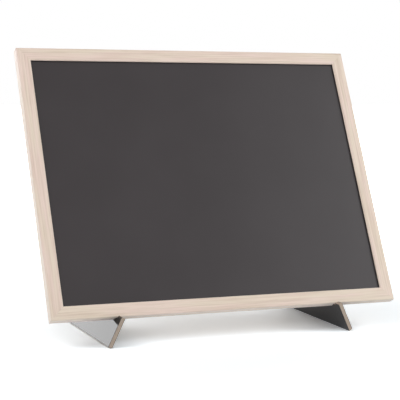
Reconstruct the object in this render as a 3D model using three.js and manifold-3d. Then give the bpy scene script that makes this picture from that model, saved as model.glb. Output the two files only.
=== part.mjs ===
import * as THREE from 'three';
import Module from 'manifold-3d';

// Sizes in millimetres and degrees. The board stands on the floor at Z = 0 and faces -Y.
const boardWidth = 432;
const boardHeight = 332;
const railWidth = 16;
const frameThickness = 12;
const leanAngle = 27;
const cornerHeight = 33;
const outerFrontRound = 1.5;
const backRound = 1;
const innerFrontRound = 1.6;

// The writing panel sits in a groove that runs round the inside of the four rails. It leans back
// on the groove's rear wall, which leaves a gap behind the lip.
const panelThickness = 3;
const frontLip = 1.8;
const lipGap = 1.2;
const grooveDepth = 5;

// Each foot is a flat plate that leans inwards and stands on its inner lower corner.
const footInset = 67;
const splayAngle = 25;
const footThickness = 5;
const footFrontReach = 10;
const footRearReach = 150;
const footEndHeight = 9;
const frontLipHeight = 1.5;
const gussetHeight = 48;

// The slot for a foot's tongue is blind at the front and at its top.
const slotFrontWall = 3.5;
const slotTopWeb = 1.2;

// A bent steel nail is driven across each mitre from the back.
const nailThickness = 0.8;
const nailLegLength = 6.5;
const nailHalfAngle = 35;
const nailDepth = 7;
const nailSetBack = 4;
const nailSunk = 0.2;

// Running clearance between neighbouring pieces.
const play = 0.3;
const roundSteps = 5;

const toRadians = THREE.MathUtils.degToRad;
const sinLean = Math.sin(toRadians(leanAngle));
const cosLean = Math.cos(toRadians(leanAngle));
const sinSplay = Math.sin(toRadians(splayAngle));
const cosSplay = Math.cos(toRadians(splayAngle));
const tongueHeight = railWidth - grooveDepth - slotTopWeb - play;
const tongueFront = slotFrontWall + play;

// The origin is under the middle of the whole object, from the feet's front to what reaches back most.
const boardRear = (boardHeight - backRound) * sinLean + (frameThickness - backRound) * cosLean + backRound;
const cornerY = (footFrontReach - Math.max(boardRear, footRearReach)) / 2;

const pine = { color: '#e3d2c3', roughness: 0.62, metalness: 0 };
const slate = { color: '#464243', roughness: 0.85, metalness: 0 };
const laminate = { color: '#2c2a2b', roughness: 0.25, metalness: 0 };
const steel = { color: '#a7a9ab', roughness: 0.4, metalness: 0.9 };

const wasm = await Module();
wasm.setup();

// A point of the board: x across it, depth back from its front face, up along its slope.
function onBoard(x, depth, up) {
  const y = cornerY + depth * cosLean + up * sinLean;
  const z = cornerHeight + up * cosLean - depth * sinLean;
  return [x, y, z];
}

// A point of a foot: y back from the board's lowest front edge, rise up the plate, out through it.
function onFoot(side, y, rise, out) {
  const x = side * (boardWidth / 2 - footInset - rise * sinSplay + out * cosSplay);
  const z = rise * cosSplay + out * sinSplay;
  return [x, cornerY + y, z];
}

// The outline point on a foot's outer face that lies at a given depth and height of the board.
function footPoint(depth, up) {
  const y = depth * cosLean + up * sinLean;
  const z = cornerHeight + up * cosLean - depth * sinLean;
  return [y, (z - footThickness * sinSplay) / cosSplay];
}

// The outline of a closed prism is placed at its two ends by the function place.
function prism(outline, place) {
  const clockwise = THREE.ShapeUtils.isClockWise(outline.map(([a, b]) => new THREE.Vector2(a, b)));
  const ring = clockwise ? [...outline].reverse() : outline;
  const contour = ring.map(([a, b]) => new THREE.Vector2(a, b));
  const count = ring.length;
  const near = ring.flatMap(([a, b]) => place(a, b, 0));
  const far = ring.flatMap(([a, b]) => place(a, b, 1));
  const index = [];
  for (const [i, j, k] of THREE.ShapeUtils.triangulateShape(contour, [])) {
    index.push(k, j, i, count + i, count + j, count + k);
  }
  for (let i = 0; i < count; i += 1) {
    const next = (i + 1) % count;
    index.push(i, next, count + next, i, count + next, count + i);
  }
  return solid([...near, ...far], index);
}

// A solid facing outwards: a mirrored placement turns every triangle over.
function solid(positions, index) {
  const corner = (i) => new THREE.Vector3().fromArray(positions, 3 * i);
  let volume = 0;
  for (let i = 0; i < index.length; i += 3) {
    const [a, b, c] = [corner(index[i]), corner(index[i + 1]), corner(index[i + 2])];
    volume += a.dot(b.cross(c));
  }
  const facing = volume < 0 ? [...index].reverse() : index;
  return new wasm.Manifold(new wasm.Mesh({
    numProp: 3,
    vertProperties: new Float32Array(positions),
    triVerts: new Uint32Array(facing),
  }));
}

function piece(name, body, look) {
  const mesh = body.getMesh();
  const geometry = new THREE.BufferGeometry();
  geometry.setAttribute('position', new THREE.BufferAttribute(new Float32Array(mesh.vertProperties), 3));
  geometry.setIndex(new THREE.BufferAttribute(new Uint32Array(mesh.triVerts), 1));
  const flat = geometry.toNonIndexed();
  flat.computeVertexNormals();
  const made = new THREE.Mesh(flat, new THREE.MeshStandardMaterial(look));
  made.name = name;
  return made;
}

// A quarter round of the given centre and radius, from one angle to the next right angle.
function quarter(centreA, centreB, radius, startTurn) {
  const points = [];
  for (let step = 0; step <= roundSteps; step += 1) {
    const angle = (startTurn + step / roundSteps) * Math.PI / 2;
    points.push([centreA + radius * Math.cos(angle), centreB + radius * Math.sin(angle)]);
  }
  return points;
}

// The rail's section: a runs from the outer edge inwards, b from the front face back.
function railSection() {
  const grooveBack = frontLip + lipGap + panelThickness + play;
  const grooveFloor = railWidth - grooveDepth;
  return [
    ...quarter(outerFrontRound, outerFrontRound, outerFrontRound, 2),
    ...quarter(railWidth - innerFrontRound, innerFrontRound, innerFrontRound, 3),
    [railWidth, frontLip],
    [grooveFloor, frontLip],
    [grooveFloor, grooveBack],
    [railWidth, grooveBack],
    ...quarter(railWidth - backRound, frameThickness - backRound, backRound, 0),
    ...quarter(backRound, frameThickness - backRound, backRound, 1),
  ];
}

// A rail of the given length between its outer mitre points; place sets it on one side of the frame.
function rail(length, place) {
  const mitreGap = play / Math.SQRT2;
  return prism(railSection(), (a, b, end) => {
    const along = (end === 0 ? -1 : 1) * (length / 2 - a - mitreGap);
    return place(along, a, b);
  });
}

const railPlaces = {
  top: (along, a, b) => onBoard(along, b, boardHeight - a),
  bottom: (along, a, b) => onBoard(along, b, a),
  left: (along, a, b) => onBoard(a - boardWidth / 2, b, boardHeight / 2 + along),
  right: (along, a, b) => onBoard(boardWidth / 2 - a, b, boardHeight / 2 + along),
};

// The nail's V seen from the back, grown by the given amount: along the mitre, then across it.
function nailOutline(grow) {
  const angle = toRadians(nailHalfAngle);
  const half = nailThickness / 2 + grow;
  const apex = nailSetBack * Math.SQRT2;
  const legEnd = nailLegLength + grow;
  const endA = apex + legEnd * Math.cos(angle);
  const endB = legEnd * Math.sin(angle);
  const offA = half * Math.sin(angle);
  const offB = half * Math.cos(angle);
  const point = half / Math.sin(angle);
  return [
    [apex - point, 0],
    [endA - offA, endB + offB],
    [endA + offA, endB - offB],
    [apex + point, 0],
    [endA + offA, offB - endB],
    [endA - offA, -endB - offB],
  ];
}

// A nail, or with grow its hole, at the frame's corner on the given side and end.
function nail(side, end, grow) {
  const front = frameThickness - nailSunk - nailDepth - grow;
  const back = grow > 0 ? frameThickness + 1 : frameThickness - nailSunk;
  return prism(nailOutline(grow), (along, across, face) => {
    const inX = (along + across) / Math.SQRT2;
    const inUp = (along - across) / Math.SQRT2;
    const up = end > 0 ? boardHeight - inUp : inUp;
    return onBoard(side * (boardWidth / 2 - inX), face === 0 ? front : back, up);
  });
}

function footPlate(side, outline, grow) {
  return prism(outline, (y, rise, end) => {
    const out = end === 0 ? -grow : footThickness + grow;
    return onFoot(side, y, rise, out);
  });
}

// The foot's outline: floor edge, front edge, lip, ledge under the rail, tongue and rear gusset.
function footOutline() {
  const lipTop = (cornerHeight + frontLipHeight - footThickness * sinSplay) / cosSplay;
  const lipDepth = play * (sinLean - 1) / cosLean;
  const behindRail = frameThickness + play;
  return [
    [-footFrontReach, 0],
    [footRearReach, 0],
    [footRearReach, footEndHeight],
    footPoint(behindRail, gussetHeight),
    footPoint(behindRail, tongueHeight),
    footPoint(tongueFront, tongueHeight),
    footPoint(tongueFront, -play),
    footPoint(lipDepth, -play),
    [-play, lipTop],
    [-footFrontReach, lipTop],
  ];
}

// The slot in the bottom rail is open below and behind, and follows the tongue all round.
function footSlot(side) {
  const outside = frameThickness;
  return footPlate(side, [
    footPoint(slotFrontWall, -outside),
    footPoint(frameThickness + outside, -outside),
    footPoint(frameThickness + outside, tongueHeight + play),
    footPoint(slotFrontWall, tongueHeight + play),
  ], play);
}

// A rail with the holes of the nails at its two corners.
function frameRail(length, place, corners) {
  let body = rail(length, place);
  for (const [side, end] of corners) {
    body = body.subtract(nail(side, end, play));
  }
  return body;
}

function bottomRail() {
  let body = frameRail(boardWidth, railPlaces.bottom, [[-1, -1], [1, -1]]);
  for (const side of [-1, 1]) {
    body = body.subtract(footSlot(side));
  }
  return body;
}

function writingPanel() {
  const inset = railWidth - grooveDepth + play;
  const halfWidth = boardWidth / 2 - inset;
  const face = frontLip + lipGap;
  const corners = [
    [-halfWidth, inset],
    [halfWidth, inset],
    [halfWidth, boardHeight - inset],
    [-halfWidth, boardHeight - inset],
  ];
  return prism(corners, (x, up, end) => onBoard(x, face + end * panelThickness, up));
}

const chalkboard = new THREE.Group();
chalkboard.name = 'chalkboard_with_stand';
chalkboard.add(
  piece('top_rail', frameRail(boardWidth, railPlaces.top, [[-1, 1], [1, 1]]), pine),
  piece('bottom_rail', bottomRail(), pine),
  piece('left_rail', frameRail(boardHeight, railPlaces.left, [[-1, -1], [-1, 1]]), pine),
  piece('right_rail', frameRail(boardHeight, railPlaces.right, [[1, -1], [1, 1]]), pine),
  piece('writing_panel', writingPanel(), slate),
  piece('left_foot', footPlate(-1, footOutline(), 0), laminate),
  piece('right_foot', footPlate(1, footOutline(), 0), laminate),
  piece('top_left_nail', nail(-1, 1, 0), steel),
  piece('top_right_nail', nail(1, 1, 0), steel),
  piece('bottom_left_nail', nail(-1, -1, 0), steel),
  piece('bottom_right_nail', nail(1, -1, 0), steel),
);

export default chalkboard;
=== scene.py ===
"""A framed tabletop chalkboard on two splayed plate feet, in a plain white studio."""

import math

import bmesh
import bpy
from bpy.props import FloatProperty, FloatVectorProperty, PointerProperty
from mathutils import Matrix, Vector


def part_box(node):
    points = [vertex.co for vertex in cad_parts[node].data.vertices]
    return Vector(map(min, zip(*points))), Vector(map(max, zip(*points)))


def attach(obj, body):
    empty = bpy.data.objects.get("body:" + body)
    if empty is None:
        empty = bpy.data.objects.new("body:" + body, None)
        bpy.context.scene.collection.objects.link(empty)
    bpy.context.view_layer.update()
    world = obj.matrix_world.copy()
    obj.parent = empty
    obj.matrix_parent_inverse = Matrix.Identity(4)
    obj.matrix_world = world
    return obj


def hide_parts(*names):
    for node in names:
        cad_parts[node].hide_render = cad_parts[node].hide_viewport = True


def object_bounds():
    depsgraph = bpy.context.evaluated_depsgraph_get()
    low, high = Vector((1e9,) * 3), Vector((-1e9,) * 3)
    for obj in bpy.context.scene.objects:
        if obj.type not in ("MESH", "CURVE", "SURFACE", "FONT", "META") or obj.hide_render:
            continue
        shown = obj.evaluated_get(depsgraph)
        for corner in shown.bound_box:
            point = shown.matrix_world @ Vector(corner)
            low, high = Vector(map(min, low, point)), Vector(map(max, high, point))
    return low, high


bl_info = {
    "name": "Tabletop Chalkboard",
    "version": (1, 0, 0),
    "blender": (4, 5, 0),
    "location": "3D Viewport > Sidebar > Chalkboard",
    "description": "Models a framed chalkboard on two plate feet and sets it in a plain studio",
    "category": "Object",
}

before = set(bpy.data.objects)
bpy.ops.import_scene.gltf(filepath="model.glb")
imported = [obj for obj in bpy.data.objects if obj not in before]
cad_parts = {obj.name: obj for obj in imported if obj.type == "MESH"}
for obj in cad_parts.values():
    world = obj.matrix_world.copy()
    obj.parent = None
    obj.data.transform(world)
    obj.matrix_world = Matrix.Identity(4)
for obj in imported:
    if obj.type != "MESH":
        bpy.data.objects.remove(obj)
CAD_LOW, CAD_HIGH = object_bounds()
LEFT_RAIL_LOW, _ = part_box("left_rail")
BOARD_WIDTH = -2 * LEFT_RAIL_LOW.x
RAILS = ("top", "bottom", "left", "right")
SIDES = {"left": -1, "right": 1}
SENSOR_WIDTH = 36.0

# An edge that turns by more than this stays crisp.
SHARP = math.radians(30)

# Segments of the rounds on the rails, on broken edges and on the nails' bends.
RAIL_SEGMENTS = 6
ARRIS_SEGMENTS = 2
BEND_SEGMENTS = 3

# How far apart two rails lie in the plank that their grain is taken from.
PLANK_STEP = (0.63, 0.021, 0.017)

# Patterns in the pine, along the grain, through the rail and across it: the stretch and scale of
# the growth bands, and steps per metre of the others.
BAND_STRETCH = (0.10, 0.55, 1.0)
BAND_SCALE = 105.0
DRIFT_STEPS = (7.0, 70.0, 90.0)
STREAK_STEPS = (13.0, 450.0, 450.0)
WARMTH_STEPS = (13.0, 120.0, 120.0)
FIBRE_STEPS = (34.0, 1300.0, 1300.0)
PORE_STEPS = (70.0, 2600.0, 2600.0)

# How much each pattern darkens the pine, and how far the fibres stand proud and the bands lie
# low where a pore is 1 deep.
BAND_SHARE = 0.25
STREAK_SHARE = 0.68
FIBRE_SHARE = 0.25
PORE_SHARE = 0.5
FIBRE_RELIEF = 0.6
BAND_RELIEF = 0.35

# Patterns in raw fibreboard and on bare steel, in steps per metre along each axis.
FELT_STEPS = (1500.0, 700.0, 1500.0)
BLOTCH_STEPS = (60.0, 60.0, 60.0)
BLOTCH_SHARE = 0.4
STEEL_STEPS = (900.0, 250.0, 250.0)

# The lamps of the studio: name, place, target, width, height and radiance.
CENTRE = (0.0, 0.0, 0.15)
LAMPS = (
    ("upper_left", (-1.6, -0.2, 1.7), CENTRE, 1.4, 1.4, 3.5),
    ("front_left", (-1.5, -2.0, 1.0), CENTRE, 1.4, 1.4, 1.9),
    ("front_right", (1.4, -2.0, 0.5), (0.0, 0.0, 0.1), 1.4, 0.8, 2.7),
    ("right", (2.1, -1.05, 1.4), CENTRE, 1.2, 1.2, 5.55),
    ("low_right", (2.2, 0.0, 0.4), (0.2, 0.0, 0.1), 1.2, 0.6, 1.5),
    ("behind", (0.0, 2.2, 1.8), CENTRE, 1.6, 1.2, 2.1),
    ("behind_left", (-0.95, 1.75, 0.4), (-0.15, 0.0, 0.02), 1.2, 0.7, 3.1),
    ("behind_right", (1.5, 1.5, 0.8), (0.0, 0.0, 0.02), 1.2, 0.8, 3.4),
)


def length(name, description, default):
    """A size in metres that the sidebar shows."""
    return FloatProperty(name=name, description=description, default=default, unit="LENGTH", precision=5)


def angle(name, description, degrees):
    """An angle, given here in degrees."""
    return FloatProperty(name=name, description=description, default=math.radians(degrees), subtype="ANGLE")


def colour(name, description, default):
    return FloatVectorProperty(
        name=name, description=description, default=default, subtype="COLOR", min=0.0, max=1.0
    )


def plain(name, description, default):
    """A number without a unit."""
    return FloatProperty(name=name, description=description, default=default)


class ChalkboardRailSettings(bpy.types.PropertyGroup):
    """Sizes and colours of the mitred pine frame."""

    board_height: length("Board Height", "Height of the frame along its slope", 0.332)
    rail_width: length("Rail Width", "Width of a rail seen from the front", 0.016)
    thickness: length("Thickness", "Depth of a rail from front to back", 0.012)
    corner_height: length("Corner Height", "Height of the lowest front edge above the floor", 0.033)
    lean: angle("Lean", "How far the board leans back", 27)
    outer_round: length("Outer Round", "Radius of the outer front edge", 0.0015)
    inner_round: length("Inner Round", "Radius of the inner front edge", 0.0016)
    back_round: length("Back Round", "Radius of the back edges", 0.001)
    front_lip: length("Front Lip", "Wood in front of the panel's groove", 0.0018)
    groove_depth: length("Groove Depth", "How far the panel reaches into a rail", 0.005)
    mitre_gap: length("Mitre Gap", "Space that each rail leaves at a mitre", 0.00006)
    pale: colour("Pale Wood", "Early wood of the pine", (0.85, 0.68, 0.60))
    sap: colour("Sap", "Yellower streaks of the pine", (0.82, 0.70, 0.575))
    grain: colour("Grain", "Late wood of the pine", (0.52, 0.37, 0.265))
    pore: colour("Pores", "Resin pores and fibres", (0.52, 0.38, 0.27))
    grain_strength: plain("Grain Strength", "How clearly the grain shows", 0.55)


class ChalkboardPanelSettings(bpy.types.PropertyGroup):
    """Sizes and colours of the writing panel."""

    thickness: length("Thickness", "Thickness of the panel", 0.003)
    coating: length("Coating", "Thickness of the writing coat", 0.0002)
    slack: length("Slack", "Space between the panel and its groove", 0.0003)
    front_slack: length("Front Slack", "Space between the panel and the lip in front of it", 0.0012)
    arris: length("Arris", "Broken edge of the panel", 0.00015)
    coat: colour("Coat", "Matt black writing coat", (0.0195, 0.0145, 0.0160))
    haze: colour("Haze", "Lighter clouds in the coat", (0.025, 0.0195, 0.0212))
    board: colour("Board", "Raw fibreboard at the back", (0.30, 0.20, 0.125))


class ChalkboardFootSettings(bpy.types.PropertyGroup):
    """Sizes and colours of the two plate feet."""

    inset: length("Inset", "From the board's side to a foot's floor edge", 0.067)
    splay: angle("Splay", "How far a foot leans inwards", 25)
    thickness: length("Thickness", "Thickness of a foot", 0.005)
    laminate: length("Laminate", "Thickness of the black skin on each face", 0.0004)
    front_reach: length("Front Reach", "Foot in front of the board's lowest edge", 0.010)
    rear_reach: length("Rear Reach", "Foot behind the board's lowest front edge", 0.150)
    end_height: length("End Height", "Height of the rear end", 0.009)
    lip_height: length("Lip Height", "Front lip above the board's lowest edge", 0.0015)
    gusset_height: length("Gusset Height", "Top of the gusset behind the board", 0.048)
    slot_wall: length("Slot Wall", "Wood left in front of a foot's slot", 0.0035)
    slot_web: length("Slot Web", "Wood between a slot's top and the groove", 0.0012)
    play: length("Play", "Clearance of the foot in the rail", 0.0003)
    arris: length("Arris", "Broken edge of the plate", 0.00012)
    skin: colour("Laminate Colour", "Glossy black laminate", (0.012, 0.011, 0.0115))
    core: colour("Core", "Raw fibreboard at the sawn edges", (0.54, 0.45, 0.375))
    core_dark: colour("Core Fibre", "Darker fibres of the sawn edges", (0.34, 0.26, 0.20))


class ChalkboardNailSettings(bpy.types.PropertyGroup):
    """Sizes and colour of the bent nails across the mitres."""

    sheet: length("Sheet", "Thickness of the steel strip", 0.0008)
    leg: length("Leg", "Length of each leg of the V", 0.0065)
    half_angle: angle("Half Angle", "Angle of a leg to the mitre", 35)
    depth: length("Depth", "How deep the nail reaches", 0.007)
    set_back: length("Set Back", "From the outer edges to the bend", 0.004)
    sunk: length("Sunk", "How far the nail lies under the back face", 0.0002)
    bend: length("Bend", "Radius of the bends in the strip", 0.00016)
    bite: length("Bite", "Crushed wood around the nail", 0.00012)
    steel: colour("Steel", "Bare steel", (0.45, 0.45, 0.46))


class ChalkboardStudioSettings(bpy.types.PropertyGroup):
    """Camera and light of the studio."""

    camera_place: FloatVectorProperty(
        name="Camera Place", description="Where the camera stands", subtype="TRANSLATION",
        unit="LENGTH", default=(-0.6306, -1.4588, 0.3284), precision=4,
    )
    azimuth: angle("Azimuth", "Turn of the view to the right of straight ahead", 22.964)
    pitch: angle("Pitch", "How far the camera looks down", 5.878)
    roll: angle("Roll", "Tilt of the camera about its own axis", 1.022)
    focal: plain("Focal Length", "Lens in millimetres on a 36 mm sensor", 120.51)
    shift_x: plain("Shift X", "Sideways shift of the lens", 0.0030)
    shift_y: plain("Shift Y", "Upwards shift of the lens", -0.0279)
    ambient: plain("Ambient", "Strength of the white surroundings", 0.18)
    floor_size: length("Floor Size", "Side of the floor", 12.0)
    floor_tint: colour("Floor Tint", "Cool tint that evens out the wood's warm glow", (0.922, 0.962, 0.988))
    floor_white: plain("Floor White", "Reflectance of the floor", 0.92)
    floor_seen: plain("Floor Seen", "Whiteness of the floor to the camera and in reflections", 1.46)
    floor_fade: length("Floor Fade", "Distance at which the floor starts to fade to white", 0.45)
    floor_end: length("Floor End", "Distance at which the floor is all white", 1.3)


class Tree:
    """Short calls that add nodes to one node tree and join them."""

    def __init__(self, node_tree):
        self.nodes = node_tree.nodes
        self.links = node_tree.links

    def add(self, kind, settings=None, **sockets):
        """A new node; a socket's name is given with underscores for its spaces."""
        node = self.nodes.new(kind)
        for key, value in (settings or {}).items():
            setattr(node, key, value)
        for key, value in sockets.items():
            self.feed(node.inputs[key.replace("_", " ")], value)
        return node

    def feed(self, socket, value):
        """Links another node's output to the socket, or sets its plain value."""
        if isinstance(value, bpy.types.NodeSocket):
            self.links.new(value, socket)
        else:
            socket.default_value = value

    def maths(self, operation, first, second):
        node = self.nodes.new("ShaderNodeMath")
        node.operation = operation
        self.feed(node.inputs[0], first)
        self.feed(node.inputs[1], second)
        return node.outputs[0]

    def between(self, mask, low, high):
        """low where the mask is 0, high where it is 1."""
        return self.maths("ADD", self.maths("MULTIPLY", mask, high - low), low)

    def scaled(self, vector, factors):
        node = self.nodes.new("ShaderNodeVectorMath")
        node.operation = "MULTIPLY"
        self.feed(node.inputs[0], vector)
        node.inputs[1].default_value = factors
        return node.outputs[0]

    def noise(self, place, steps, detail=2.0, roughness=0.5):
        """Noise that changes by the given steps per metre along each axis."""
        node = self.add(
            "ShaderNodeTexNoise", Vector=self.scaled(place, steps),
            Scale=1.0, Detail=detail, Roughness=roughness,
        )
        return node.outputs["Fac"]

    def window(self, value, low, high):
        """0 up to low, 1 from high on, and a straight rise between them."""
        node = self.nodes.new("ShaderNodeMapRange")
        self.feed(node.inputs["Value"], value)
        node.inputs["From Min"].default_value = low
        node.inputs["From Max"].default_value = high
        return node.outputs["Result"]

    def mix(self, factor, first, second):
        """A colour between the first, at factor 0, and the second, at 1."""
        node = self.nodes.new("ShaderNodeMix")
        node.data_type = "RGBA"
        self.feed(node.inputs["Factor"], factor)
        self.feed(node.inputs[6], first)
        self.feed(node.inputs[7], second)
        return node.outputs[2]


def new_group(name, inputs, outputs):
    """A shader node group with named sockets, and its tree, input and output nodes."""
    group = bpy.data.node_groups.new(name, "ShaderNodeTree")
    for label, kind in inputs:
        group.interface.new_socket(name=label, in_out="INPUT", socket_type=kind)
    for label, kind in outputs:
        group.interface.new_socket(name=label, in_out="OUTPUT", socket_type=kind)
    tree = Tree(group)
    return group, tree, tree.add("NodeGroupInput"), tree.add("NodeGroupOutput")


def pine_grain_group():
    """Pale pine along X: growth bands, long fibres and short pores."""
    group, tree, given, out = new_group(
        "Pine Grain",
        [("Vector", "NodeSocketVector"), ("Pale", "NodeSocketColor"), ("Sap", "NodeSocketColor"),
         ("Grain", "NodeSocketColor"), ("Pore", "NodeSocketColor"), ("Strength", "NodeSocketFloat")],
        [("Colour", "NodeSocketColor"), ("Roughness", "NodeSocketFloat"), ("Height", "NodeSocketFloat")],
    )
    place = given.outputs["Vector"]
    bands = tree.add(
        "ShaderNodeTexWave", {"wave_type": "BANDS", "bands_direction": "Z", "wave_profile": "SIN"},
        Vector=tree.scaled(place, BAND_STRETCH), Scale=BAND_SCALE, Distortion=5.5, Detail=2.0,
        Detail_Scale=0.55, Detail_Roughness=0.5,
    )
    late = tree.window(bands.outputs["Fac"], low=0.45, high=0.98)
    drift = tree.window(tree.noise(place, DRIFT_STEPS), low=0.25, high=0.75)
    streaks = tree.window(tree.noise(place, STREAK_STEPS, roughness=0.6), low=0.42, high=0.70)
    warmth = tree.window(tree.noise(place, WARMTH_STEPS), low=0.36, high=0.64)
    fibres = tree.noise(place, FIBRE_STEPS, detail=3.0, roughness=0.6)
    pores = tree.window(tree.noise(place, PORE_STEPS, detail=1.0), low=0.66, high=0.78)
    amount = tree.maths("MULTIPLY", tree.maths("MULTIPLY", late, drift), BAND_SHARE)
    amount = tree.maths("ADD", amount, tree.maths("MULTIPLY", streaks, STREAK_SHARE))
    amount = tree.maths("ADD", amount, tree.maths("MULTIPLY", fibres, FIBRE_SHARE))
    amount = tree.maths("MULTIPLY", amount, given.outputs["Strength"])
    early = tree.mix(warmth, given.outputs["Pale"], given.outputs["Sap"])
    wood = tree.mix(amount, early, given.outputs["Grain"])
    specks = tree.maths("MULTIPLY", pores, given.outputs["Strength"])
    wood = tree.mix(tree.maths("MULTIPLY", specks, PORE_SHARE), wood, given.outputs["Pore"])
    tree.feed(out.inputs["Colour"], wood)
    tree.feed(out.inputs["Roughness"], tree.between(fibres, low=0.50, high=0.66))
    height = tree.maths("SUBTRACT", tree.maths("MULTIPLY", fibres, FIBRE_RELIEF), pores)
    height = tree.maths("SUBTRACT", height, tree.maths("MULTIPLY", late, BAND_RELIEF))
    tree.feed(out.inputs["Height"], height)
    return group


def fibreboard_group():
    """Pressed fibres: a felt of short flecks, seen at raw edges and on the panel's back."""
    group, tree, given, out = new_group(
        "Fibreboard",
        [("Vector", "NodeSocketVector"), ("Light", "NodeSocketColor"), ("Dark", "NodeSocketColor")],
        [("Colour", "NodeSocketColor"), ("Height", "NodeSocketFloat")],
    )
    place = given.outputs["Vector"]
    felt = tree.noise(place, FELT_STEPS, detail=4.0, roughness=0.7)
    blotches = tree.maths("MULTIPLY", tree.noise(place, BLOTCH_STEPS), BLOTCH_SHARE)
    amount = tree.maths("ADD", tree.window(felt, low=0.35, high=0.75), blotches)
    tree.feed(out.inputs["Colour"], tree.mix(amount, given.outputs["Light"], given.outputs["Dark"]))
    tree.feed(out.inputs["Height"], felt)
    return group


def mottle_group():
    """Slow clouds and a fine tooth, for coated and laminated faces."""
    group, tree, given, out = new_group(
        "Mottle",
        [("Vector", "NodeSocketVector"), ("Cloud Size", "NodeSocketFloat"), ("Tooth", "NodeSocketFloat")],
        [("Clouds", "NodeSocketFloat"), ("Tooth", "NodeSocketFloat")],
    )
    scale = tree.maths("DIVIDE", 1.0, given.outputs["Cloud Size"])
    slow = tree.add("ShaderNodeTexNoise", Scale=scale, Detail=3.0, Vector=given.outputs["Vector"])
    fine = tree.add(
        "ShaderNodeTexNoise", Scale=given.outputs["Tooth"], Detail=2.0, Vector=given.outputs["Vector"]
    )
    tree.feed(out.inputs["Clouds"], tree.window(slow.outputs["Fac"], low=0.3, high=0.7))
    tree.feed(out.inputs["Tooth"], fine.outputs["Fac"])
    return group


def shared(name, make):
    """The node group of that name, made when it is first asked for."""
    return bpy.data.node_groups.get(name) or make()


def new_material(name, **fixed):
    """A material with one Principled shader, its plain values, and the Object coordinates."""
    material = bpy.data.materials.new(name)
    material.use_nodes = True
    tree = Tree(material.node_tree)
    shader = material.node_tree.nodes["Principled BSDF"]
    for key, value in fixed.items():
        shader.inputs[key.replace("_", " ")].default_value = value
    place = tree.add("ShaderNodeTexCoord").outputs["Object"]
    return material, tree, shader, place


def place_group(tree, name, make, **sockets):
    """A node of the shared group of that name, with its inputs set or linked."""
    node = tree.nodes.new("ShaderNodeGroup")
    node.node_tree = shared(name, make)
    for key, value in sockets.items():
        tree.feed(node.inputs[key.replace("_", " ")], value)
    return node


def add_bump(tree, shader, height, strength, distance):
    """Bump on the shader: height is a mask, and distance is how deep it goes in metres."""
    bump = tree.add("ShaderNodeBump", Height=height, Strength=strength, Distance=distance)
    tree.feed(shader.inputs["Normal"], bump.outputs["Normal"])


def opaque(rgb):
    return (*rgb, 1.0)


def toned(rgb, factor):
    """The colour made lighter or darker by the factor."""
    return tuple(min(1.0, factor * channel) for channel in rgb)


def turned_place(tree, place, matrix):
    """Object coordinates carried back through a piece's own placing, so that a pattern follows it."""
    back = matrix.inverted()
    mapping = tree.add("ShaderNodeMapping", {"vector_type": "POINT"}, Vector=place)
    mapping.inputs["Location"].default_value = back.to_translation()
    mapping.inputs["Rotation"].default_value = back.to_euler()
    return mapping.outputs["Vector"]


def pine_material(name, matrix, offset):
    """Pine whose grain runs along one rail; offset picks another stretch of the plank."""
    rails = bpy.context.scene.chalkboard_rails
    material, tree, shader, place = new_material(name, Specular_IOR_Level=0.5, Sheen_Weight=0.6)
    shifted = Matrix.Translation(offset) @ matrix.inverted()
    local = turned_place(tree, place, shifted.inverted())
    grain = place_group(
        tree, "Pine Grain", pine_grain_group, Vector=local, Pale=opaque(rails.pale),
        Sap=opaque(rails.sap), Grain=opaque(rails.grain), Pore=opaque(rails.pore),
        Strength=rails.grain_strength,
    )
    tree.feed(shader.inputs["Base Color"], grain.outputs["Colour"])
    tree.feed(shader.inputs["Roughness"], grain.outputs["Roughness"])
    add_bump(tree, shader, grain.outputs["Height"], strength=0.35, distance=0.00008)
    return material


def coat_material():
    """Matt black writing coat with faint clouds and a fine tooth for chalk."""
    panel = bpy.context.scene.chalkboard_panel
    material, tree, shader, place = new_material("writing_coat", Specular_IOR_Level=0.42)
    mottle = place_group(tree, "Mottle", mottle_group, Vector=place, Cloud_Size=0.11, Tooth=2600.0)
    tone = tree.mix(mottle.outputs["Clouds"], opaque(panel.coat), opaque(panel.haze))
    tree.feed(shader.inputs["Base Color"], tone)
    wear = tree.between(mottle.outputs["Clouds"], low=0.36, high=0.41)
    tree.feed(shader.inputs["Roughness"], wear)
    add_bump(tree, shader, mottle.outputs["Tooth"], strength=0.25, distance=0.00004)
    return material


def board_material(name, matrix, light, dark, roughness):
    """Raw fibreboard, with its pattern turned as the piece is."""
    material, tree, shader, place = new_material(name, Roughness=roughness, Specular_IOR_Level=0.3)
    local = turned_place(tree, place, matrix)
    board = place_group(
        tree, "Fibreboard", fibreboard_group, Vector=local, Light=opaque(light), Dark=opaque(dark)
    )
    tree.feed(shader.inputs["Base Color"], board.outputs["Colour"])
    add_bump(tree, shader, board.outputs["Height"], strength=0.5, distance=0.0001)
    return material


def laminate_material():
    """Glossy black laminate, a little uneven where it lies on the board."""
    foot = bpy.context.scene.chalkboard_feet
    material, tree, shader, place = new_material("black_laminate", IOR=1.32)
    mottle = place_group(tree, "Mottle", mottle_group, Vector=place, Cloud_Size=0.03, Tooth=900.0)
    lighter = toned(foot.skin, factor=1.5)
    tone = tree.mix(mottle.outputs["Clouds"], opaque(foot.skin), opaque(lighter))
    tree.feed(shader.inputs["Base Color"], tone)
    wear = tree.between(mottle.outputs["Clouds"], low=0.09, high=0.12)
    tree.feed(shader.inputs["Roughness"], wear)
    add_bump(tree, shader, mottle.outputs["Tooth"], strength=0.05, distance=0.00002)
    return material


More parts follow.
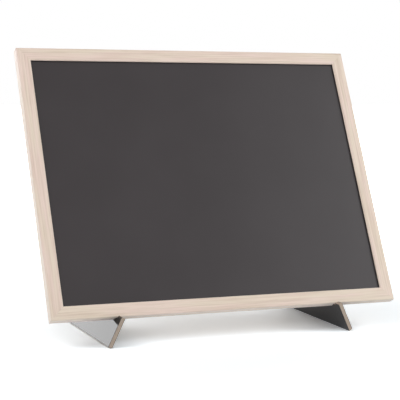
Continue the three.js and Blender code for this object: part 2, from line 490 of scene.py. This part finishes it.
def steel_material():
    """Bare steel strip with faint marks, a little dull."""
    nails = bpy.context.scene.chalkboard_nails
    material, tree, shader, place = new_material("nail_steel", Metallic=1.0)
    marks = tree.noise(place, STEEL_STEPS, detail=3.0)
    dull = toned(nails.steel, factor=0.55)
    tree.feed(shader.inputs["Base Color"], tree.mix(marks, opaque(nails.steel), opaque(dull)))
    tree.feed(shader.inputs["Roughness"], tree.between(marks, low=0.28, high=0.53))
    return material


def board_matrix():
    """Stands up the flat board: x across, y back from its front face, z up its slope."""
    scene = bpy.context.scene
    corner = (0.0, CAD_LOW.y + scene.chalkboard_feet.front_reach, scene.chalkboard_rails.corner_height)
    return Matrix.Translation(corner) @ Matrix.Rotation(-scene.chalkboard_rails.lean, 4, "X")


def rail_matrix(rail):
    """Turns a rail, x along it and z in from its outer edge, to its side of the flat board."""
    height = bpy.context.scene.chalkboard_rails.board_height
    turns = {
        "bottom": ((0.0, 0.0, 0.0), 0.0),
        "top": ((0.0, 0.0, height), math.pi),
        "left": ((-BOARD_WIDTH / 2, 0.0, height / 2), math.pi / 2),
        "right": ((BOARD_WIDTH / 2, 0.0, height / 2), -math.pi / 2),
    }
    place, turn = turns[rail]
    return Matrix.Translation(place) @ Matrix.Rotation(turn, 4, "Y")


def foot_matrix(side):
    """Turns a flat foot, x out through it, y back and z up it, to where it stands."""
    scene = bpy.context.scene
    feet = scene.chalkboard_feet
    floor_line = (BOARD_WIDTH / 2 - feet.inset, CAD_LOW.y + feet.front_reach, 0.0)
    right = Matrix.Translation(floor_line) @ Matrix.Rotation(-feet.splay, 4, "Y")
    return right if side > 0 else Matrix.Scale(-1, 4, (1.0, 0.0, 0.0)) @ right


def foot_point(depth, up):
    """Where a foot's outer face meets a given depth and height of the board: back, and up the foot."""
    rails = bpy.context.scene.chalkboard_rails
    feet = bpy.context.scene.chalkboard_feet
    back = depth * math.cos(rails.lean) + up * math.sin(rails.lean)
    rise = rails.corner_height + up * math.cos(rails.lean) - depth * math.sin(rails.lean)
    return back, (rise - feet.thickness * math.sin(feet.splay)) / math.cos(feet.splay)


def extrude(bm, face, vector):
    """Extrudes face along vector and gives the face at its far end.

    Its edges are passed too, so that a face with walls behind it isn't left inside.
    """
    made = bmesh.ops.extrude_face_region(bm, geom=[face, *face.edges])["geom"]
    corners = [item for item in made if isinstance(item, bmesh.types.BMVert)]
    bmesh.ops.translate(bm, vec=vector, verts=corners)
    return next(item for item in made if isinstance(item, bmesh.types.BMFace))


def face_of(bm, points):
    """A flat face with its corners at the points."""
    return bm.faces.new([bm.verts.new(point) for point in points])


def round_edges(bm, edges, radius, segments):
    bmesh.ops.bevel(
        bm, geom=edges, offset=radius, offset_type="OFFSET", segments=segments,
        profile=0.5, affect="EDGES", material=-1,
    )


def sharp_edges(bm):
    return [edge for edge in bm.edges if edge.is_manifold and edge.calc_face_angle(0.0) > SHARP]


def placed_object(name, bm, matrix):
    """A mesh object of bm, put in place and facing outwards."""
    bm.transform(matrix)
    bm.normal_update()
    bmesh.ops.recalc_face_normals(bm, faces=bm.faces[:])
    mesh = bpy.data.meshes.new(name)
    bm.to_mesh(mesh)
    bm.free()
    placed = bpy.data.objects.new(name, mesh)
    bpy.context.scene.collection.objects.link(placed)
    return placed


def finish_piece(name, bm, matrix, materials, body):
    """A placed piece with its materials, which rides on body."""
    piece = placed_object(name, bm, matrix)
    for material in materials:
        piece.data.materials.append(material)
    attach(piece, body)
    return piece


def cut(piece, cutters):
    """Takes the cutters' shapes out of the piece's mesh, and removes the cutters."""
    for cutter in cutters:
        carve = piece.modifiers.new("cut", "BOOLEAN")
        carve.operation = "DIFFERENCE"
        carve.solver = "EXACT"
        carve.object = cutter
    graph = bpy.context.evaluated_depsgraph_get()
    carved = bpy.data.meshes.new_from_object(piece.evaluated_get(graph))
    piece.modifiers.clear()
    piece.data = carved
    for cutter in cutters:
        bpy.data.objects.remove(cutter)


def shade_round(piece):
    """Smooth shading over the rounds, with flat faces kept crisp."""
    bm = bmesh.new()
    bm.from_mesh(piece.data)
    for face in bm.faces:
        face.smooth = True
    for edge in bm.edges:
        edge.smooth = not edge.is_manifold or edge.calc_face_angle(0.0) < SHARP
    bm.to_mesh(piece.data)
    bm.free()


def rail_section():
    """The rail's section, from its outer front corner: in from the outer edge, and back."""
    rails = bpy.context.scene.chalkboard_rails
    panel = bpy.context.scene.chalkboard_panel
    floor = rails.rail_width - rails.groove_depth
    back = rails.front_lip + panel.front_slack + panel.thickness + panel.slack
    return [
        (0.0, 0.0), (rails.rail_width, 0.0), (rails.rail_width, rails.front_lip),
        (floor, rails.front_lip), (floor, back), (rails.rail_width, back),
        (rails.rail_width, rails.thickness), (0.0, rails.thickness),
    ]


def edges_along(bm, inwards, depth, tolerance=1e-6):
    """The edges along X at one corner of the section."""
    wanted = []
    for edge in bm.edges:
        ends = edge.verts
        at_corner = all(
            abs(end.co.z - inwards) < tolerance and abs(end.co.y - depth) < tolerance for end in ends
        )
        if at_corner:
            wanted.append(edge)
    return wanted


def rail_shape(span):
    """A mitred rail along X, its outer edge at z = 0 and its front face at y = 0."""
    rails = bpy.context.scene.chalkboard_rails
    bm = bmesh.new()
    start = face_of(bm, [(-span / 2, depth, inwards) for inwards, depth in rail_section()])
    extrude(bm, start, (span, 0.0, 0.0))
    rounds = [
        (0.0, 0.0, rails.outer_round), (rails.rail_width, 0.0, rails.inner_round),
        (0.0, rails.thickness, rails.back_round), (rails.rail_width, rails.thickness, rails.back_round),
    ]
    for inwards, depth, radius in rounds:
        round_edges(bm, edges_along(bm, inwards, depth), radius, RAIL_SEGMENTS)
    for end in (-1, 1):
        geometry = bm.verts[:] + bm.edges[:] + bm.faces[:]
        bmesh.ops.bisect_plane(
            bm, geom=geometry, plane_co=(end * (span / 2 - rails.mitre_gap), 0.0, 0.0),
            plane_no=(end, 0.0, 1.0), clear_outer=True,
        )
        open_edges = [edge for edge in bm.edges if edge.is_boundary]
        bmesh.ops.holes_fill(bm, edges=open_edges, sides=0)
    bmesh.ops.recalc_face_normals(bm, faces=bm.faces[:])
    return bm


def nail_outline(grow):
    """The V of a nail: along the mitre from the frame's corner, then across it."""
    nails = bpy.context.scene.chalkboard_nails
    half = nails.sheet / 2 + grow
    apex = nails.set_back * math.sqrt(2)
    leg = nails.leg + grow
    sine, cosine = math.sin(nails.half_angle), math.cos(nails.half_angle)
    end_along, end_across = apex + leg * cosine, leg * sine
    return [
        (apex - half / sine, 0.0),
        (end_along - half * sine, end_across + half * cosine),
        (end_along + half * sine, end_across - half * cosine),
        (apex + half / sine, 0.0),
        (end_along + half * sine, half * cosine - end_across),
        (end_along - half * sine, -end_across - half * cosine),
    ]


def nail_shape(front, back, grow):
    """A V-shaped prism at the frame's bottom left corner, from depth front to depth back."""
    bm = bmesh.new()
    turn = math.sqrt(0.5)
    base = [
        (turn * (along + across), front, turn * (along - across)) for along, across in nail_outline(grow)
    ]
    extrude(bm, face_of(bm, base), (0.0, back - front, 0.0))
    bmesh.ops.recalc_face_normals(bm, faces=bm.faces[:])
    return bm


def edges_through(bm, depth):
    """The edges that run from the front to the back of a prism of that depth."""
    return [edge for edge in bm.edges if abs(edge.verts[0].co.y - edge.verts[1].co.y) > depth / 2]


def corner_matrix(side, top):
    """Carries the bottom left corner of the flat board to another corner."""
    height = bpy.context.scene.chalkboard_rails.board_height
    place = Matrix.Translation((side * BOARD_WIDTH / 2, 0.0, height if top else 0.0))
    return place @ Matrix.Diagonal((-side, 1.0, -1.0 if top else 1.0, 1.0))


def nail_hole(side, top):
    """A cutter for the place of a nail, open at the back of the frame."""
    rails = bpy.context.scene.chalkboard_rails
    nails = bpy.context.scene.chalkboard_nails
    front = rails.thickness - nails.sunk - nails.depth
    bm = nail_shape(front, rails.thickness + nails.sheet, nails.bite)
    return placed_object("cutter", bm, board_matrix() @ corner_matrix(side, top))


def tongue_height():
    """How far a foot's tongue reaches up into the bottom rail."""
    rails = bpy.context.scene.chalkboard_rails
    feet = bpy.context.scene.chalkboard_feet
    return rails.rail_width - rails.groove_depth - feet.slot_web - feet.play


def foot_slot(side):
    """A cutter for the slot of a foot's tongue, open below and behind."""
    rails = bpy.context.scene.chalkboard_rails
    feet = bpy.context.scene.chalkboard_feet
    outside = rails.thickness
    top = tongue_height() + feet.play
    corners = [
        foot_point(feet.slot_wall, -outside), foot_point(rails.thickness + outside, -outside),
        foot_point(rails.thickness + outside, top), foot_point(feet.slot_wall, top),
    ]
    bm = bmesh.new()
    start = face_of(bm, [(-feet.play, back, rise) for back, rise in corners])
    extrude(bm, start, (feet.thickness + 2 * feet.play, 0.0, 0.0))
    return placed_object("cutter", bm, foot_matrix(side))


def rail_cutters(rail):
    """The nail holes of a rail's two corners, and the foot slots of the bottom one."""
    corners = {
        "top": [(-1, True), (1, True)], "bottom": [(-1, False), (1, False)],
        "left": [(-1, False), (-1, True)], "right": [(1, False), (1, True)],
    }
    cutters = [nail_hole(side, top) for side, top in corners[rail]]
    if rail == "bottom":
        cutters += [foot_slot(side) for side in SIDES.values()]
    return cutters


def layered_plate(outline, layers, arris):
    """A plate along X from an outline of y and z, in layers that each have a thickness and a material."""
    bm = bmesh.new()
    face = face_of(bm, [(0.0, y, z) for y, z in outline])
    for thickness, material in layers:
        before = set(bm.faces)
        face = extrude(bm, face, (thickness, 0.0, 0.0))
        for wall in set(bm.faces) - before:
            wall.material_index = material
    bmesh.ops.recalc_face_normals(bm, faces=bm.faces[:])
    round_edges(bm, sharp_edges(bm), arris, ARRIS_SEGMENTS)
    return bm


class CHALKBOARD_OT_make_rails(bpy.types.Operator):
    """Make the four mitred pine rails"""

    bl_idname = "chalkboard.make_rails"
    bl_label = "Make Rails"

    def execute(self, context):
        height = context.scene.chalkboard_rails.board_height
        spans = {"top": BOARD_WIDTH, "bottom": BOARD_WIDTH, "left": height, "right": height}
        for number, rail in enumerate(RAILS):
            matrix = board_matrix() @ rail_matrix(rail)
            offset = tuple(number * step for step in PLANK_STEP)
            material = pine_material(f"pine_{rail}", matrix, offset)
            shape = rail_shape(spans[rail])
            piece = finish_piece(f"{rail}_rail_wood", shape, matrix, [material], "board")
            cut(piece, rail_cutters(rail))
            shade_round(piece)
            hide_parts(f"{rail}_rail")
        return {"FINISHED"}


class CHALKBOARD_OT_make_panel(bpy.types.Operator):
    """Make the coated writing panel in the rails' groove"""

    bl_idname = "chalkboard.make_panel"
    bl_label = "Make Panel"

    def execute(self, context):
        rails = context.scene.chalkboard_rails
        panel = context.scene.chalkboard_panel
        inset = rails.rail_width - rails.groove_depth + panel.slack
        half = BOARD_WIDTH / 2 - inset
        top = rails.board_height - inset
        outline = [(-half, inset), (half, inset), (half, top), (-half, top)]
        layers = [(panel.coating, 0), (panel.thickness - panel.coating, 1)]
        bm = layered_plate(outline, layers, panel.arris)
        set_back = Matrix.Translation((0.0, rails.front_lip + panel.front_slack, 0.0))
        lay = set_back @ Matrix.Rotation(math.pi / 2, 4, "Z") @ Matrix.Scale(-1, 4, (0.0, 1.0, 0.0))
        dark = toned(panel.board, factor=0.6)
        back = board_material("panel_board", board_matrix(), panel.board, dark, roughness=0.8)
        piece = finish_piece(
            "writing_panel_board", bm, board_matrix() @ lay, [coat_material(), back], "board"
        )
        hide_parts("writing_panel")
        return {"FINISHED"}


class CHALKBOARD_OT_make_feet(bpy.types.Operator):
    """Make the two laminated plate feet"""

    bl_idname = "chalkboard.make_feet"
    bl_label = "Make Feet"

    def execute(self, context):
        rails = context.scene.chalkboard_rails
        feet = context.scene.chalkboard_feet
        lip_top = rails.corner_height + feet.lip_height - feet.thickness * math.sin(feet.splay)
        lip_top /= math.cos(feet.splay)
        lip_depth = feet.play * (math.sin(rails.lean) - 1) / math.cos(rails.lean)
        behind = rails.thickness + feet.play
        outline = [
            (-feet.front_reach, 0.0), (feet.rear_reach, 0.0), (feet.rear_reach, feet.end_height),
            foot_point(behind, feet.gusset_height), foot_point(behind, tongue_height()),
            foot_point(feet.slot_wall + feet.play, tongue_height()),
            foot_point(feet.slot_wall + feet.play, -feet.play),
            foot_point(lip_depth, -feet.play), (-feet.play, lip_top), (-feet.front_reach, lip_top),
        ]
        core_thickness = feet.thickness - 2 * feet.laminate
        layers = [(feet.laminate, 0), (core_thickness, 1), (feet.laminate, 0)]
        skin = laminate_material()
        for name, side in SIDES.items():
            bm = layered_plate(outline, layers, feet.arris)
            matrix = foot_matrix(side)
            raw = board_material(f"{name}_foot_core", matrix, feet.core, feet.core_dark, roughness=0.75)
            piece = finish_piece(
                f"{name}_foot_plate", bm, matrix, [skin, raw], f"foot_{name}"
            )
            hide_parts(f"{name}_foot")
        return {"FINISHED"}


class CHALKBOARD_OT_make_nails(bpy.types.Operator):
    """Make the four bent nails that hold the mitres"""

    bl_idname = "chalkboard.make_nails"
    bl_label = "Make Nails"

    def execute(self, context):
        rails = context.scene.chalkboard_rails
        nails = context.scene.chalkboard_nails
        steel = steel_material()
        back = rails.thickness - nails.sunk
        for end in ("top", "bottom"):
            for name, side in SIDES.items():
                bm = nail_shape(back - nails.depth, back, 0.0)
                round_edges(bm, edges_through(bm, nails.depth), nails.bend, BEND_SEGMENTS)
                matrix = board_matrix() @ corner_matrix(side, end == "top")
                piece = finish_piece(f"{end}_{name}_v_nail", bm, matrix, [steel], "board")
                shade_round(piece)
                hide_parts(f"{end}_{name}_nail")
        return {"FINISHED"}


class CHALKBOARD_OT_make_camera(bpy.types.Operator):
    """Stand the camera where the photograph was taken"""

    bl_idname = "chalkboard.make_camera"
    bl_label = "Make Camera"

    def execute(self, context):
        studio = context.scene.chalkboard_studio
        lens = bpy.data.cameras.new("camera")
        lens.sensor_width = SENSOR_WIDTH
        lens.lens = studio.focal
        lens.shift_x = studio.shift_x
        lens.shift_y = studio.shift_y
        camera = bpy.data.objects.new("camera", lens)
        context.scene.collection.objects.link(camera)
        heading = Matrix.Rotation(-studio.azimuth, 4, "Z")
        turn = heading @ Matrix.Rotation(math.pi / 2 - studio.pitch, 4, "X")
        place = Matrix.Translation(studio.camera_place)
        camera.matrix_world = place @ turn @ Matrix.Rotation(studio.roll, 4, "Z")
        context.scene.camera = camera
        return {"FINISHED"}


def softbox(name, place, target, width, height, radiance):
    """A rectangular lamp that faces target, with an even brightness given as radiance."""
    lamp = bpy.data.lights.new(name, "AREA")
    lamp.shape = "RECTANGLE"
    lamp.size = width
    lamp.size_y = height
    lamp.energy = radiance * math.pi * width * height
    box = bpy.data.objects.new(name, lamp)
    bpy.context.scene.collection.objects.link(box)
    aim = (Vector(target) - Vector(place)).to_track_quat("-Z", "Y")
    box.matrix_world = Matrix.Translation(place) @ aim.to_matrix().to_4x4()


def seen_directly(tree):
    """1 for what the camera sees, straight on or in a mirror or through glass."""
    path = tree.add("ShaderNodeLightPath")
    seen = tree.maths("ADD", path.outputs["Is Camera Ray"], path.outputs["Is Glossy Ray"])
    seen = tree.maths("ADD", seen, path.outputs["Is Transmission Ray"])
    return tree.maths("MINIMUM", seen, 1.0)


def floor_material(studio):
    """Pale paper that keeps the shadow, and fades to plain white further out."""
    material = bpy.data.materials.new("studio_floor")
    material.use_nodes = True
    nodes = material.node_tree.nodes
    nodes.remove(nodes["Principled BSDF"])
    tree = Tree(material.node_tree)
    seen = seen_directly(tree)
    level = tree.between(seen, studio.floor_white, studio.floor_seen)
    white = tree.add("ShaderNodeCombineColor")
    for channel, share in zip(("Red", "Green", "Blue"), studio.floor_tint):
        tree.feed(white.inputs[channel], tree.maths("MULTIPLY", level, share))
    paper = tree.add("ShaderNodeBsdfDiffuse", Color=white.outputs["Color"])
    place = tree.add("ShaderNodeTexCoord").outputs["Object"]
    away = tree.add("ShaderNodeVectorMath", {"operation": "LENGTH"}, Vector=place)
    fade = tree.window(away.outputs["Value"], studio.floor_fade, studio.floor_end)
    glow = tree.add("ShaderNodeEmission", Strength=tree.maths("MULTIPLY", seen, fade))
    both = tree.add("ShaderNodeAddShader")
    tree.feed(both.inputs[0], paper.outputs["BSDF"])
    tree.feed(both.inputs[1], glow.outputs["Emission"])
    tree.feed(nodes["Material Output"].inputs["Surface"], both.outputs["Shader"])
    return material


def make_floor(studio):
    """A wide flat sheet that the feet stand on."""
    bm = bmesh.new()
    bmesh.ops.create_grid(bm, x_segments=1, y_segments=1, size=studio.floor_size / 2)
    mesh = bpy.data.meshes.new("floor")
    bm.to_mesh(mesh)
    bm.free()
    mesh.materials.append(floor_material(studio))
    floor = bpy.data.objects.new("floor", mesh)
    bpy.context.scene.collection.objects.link(floor)


def white_world(studio):
    """Dim white surroundings that the camera and reflections see as full white."""
    world = bpy.data.worlds.new("white_surroundings")
    world.use_nodes = True
    tree = Tree(world.node_tree)
    background = world.node_tree.nodes["Background"]
    background.inputs["Color"].default_value = (1.0, 1.0, 1.0, 1.0)
    strength = tree.between(seen_directly(tree), studio.ambient, 1.0)
    tree.feed(background.inputs["Strength"], strength)
    return world


class CHALKBOARD_OT_make_studio(bpy.types.Operator):
    """Make the white floor, the surroundings and the lamps"""

    bl_idname = "chalkboard.make_studio"
    bl_label = "Make Studio"

    def execute(self, context):
        studio = context.scene.chalkboard_studio
        make_floor(studio)
        context.scene.world = white_world(studio)
        for lamp in LAMPS:
            softbox(*lamp)
        context.scene.view_settings.view_transform = "Standard"
        return {"FINISHED"}


class CHALKBOARD_PT_sidebar(bpy.types.Panel):
    """Settings and steps of the chalkboard"""

    bl_label = "Chalkboard"
    bl_idname = "CHALKBOARD_PT_sidebar"
    bl_space_type = "VIEW_3D"
    bl_region_type = "UI"
    bl_category = "Chalkboard"

    def draw(self, context):
        layout = self.layout
        for step in STEPS:
            layout.operator(step.bl_idname)
        for name, group in SETTINGS.items():
            column = layout.column(heading=name)
            values = getattr(context.scene, name)
            for key in group.__annotations__:
                column.prop(values, key)


SETTINGS = {
    "chalkboard_rails": ChalkboardRailSettings,
    "chalkboard_panel": ChalkboardPanelSettings,
    "chalkboard_feet": ChalkboardFootSettings,
    "chalkboard_nails": ChalkboardNailSettings,
    "chalkboard_studio": ChalkboardStudioSettings,
}
STEPS = (
    CHALKBOARD_OT_make_camera,
    CHALKBOARD_OT_make_rails,
    CHALKBOARD_OT_make_panel,
    CHALKBOARD_OT_make_feet,
    CHALKBOARD_OT_make_nails,
    CHALKBOARD_OT_make_studio,
)


def register():
    for name, group in SETTINGS.items():
        bpy.utils.register_class(group)
        setattr(bpy.types.Scene, name, PointerProperty(type=group))
    for step in STEPS:
        bpy.utils.register_class(step)
    bpy.utils.register_class(CHALKBOARD_PT_sidebar)


def unregister():
    bpy.utils.unregister_class(CHALKBOARD_PT_sidebar)
    for step in reversed(STEPS):
        bpy.utils.unregister_class(step)
    for name, group in reversed(SETTINGS.items()):
        delattr(bpy.types.Scene, name)
        bpy.utils.unregister_class(group)


def main():
    register()
    bpy.ops.chalkboard.make_camera()
    bpy.ops.chalkboard.make_rails()
    bpy.ops.chalkboard.make_panel()
    bpy.ops.chalkboard.make_feet()
    bpy.ops.chalkboard.make_nails()
    bpy.ops.chalkboard.make_studio()


if __name__ == "__main__":
    main()
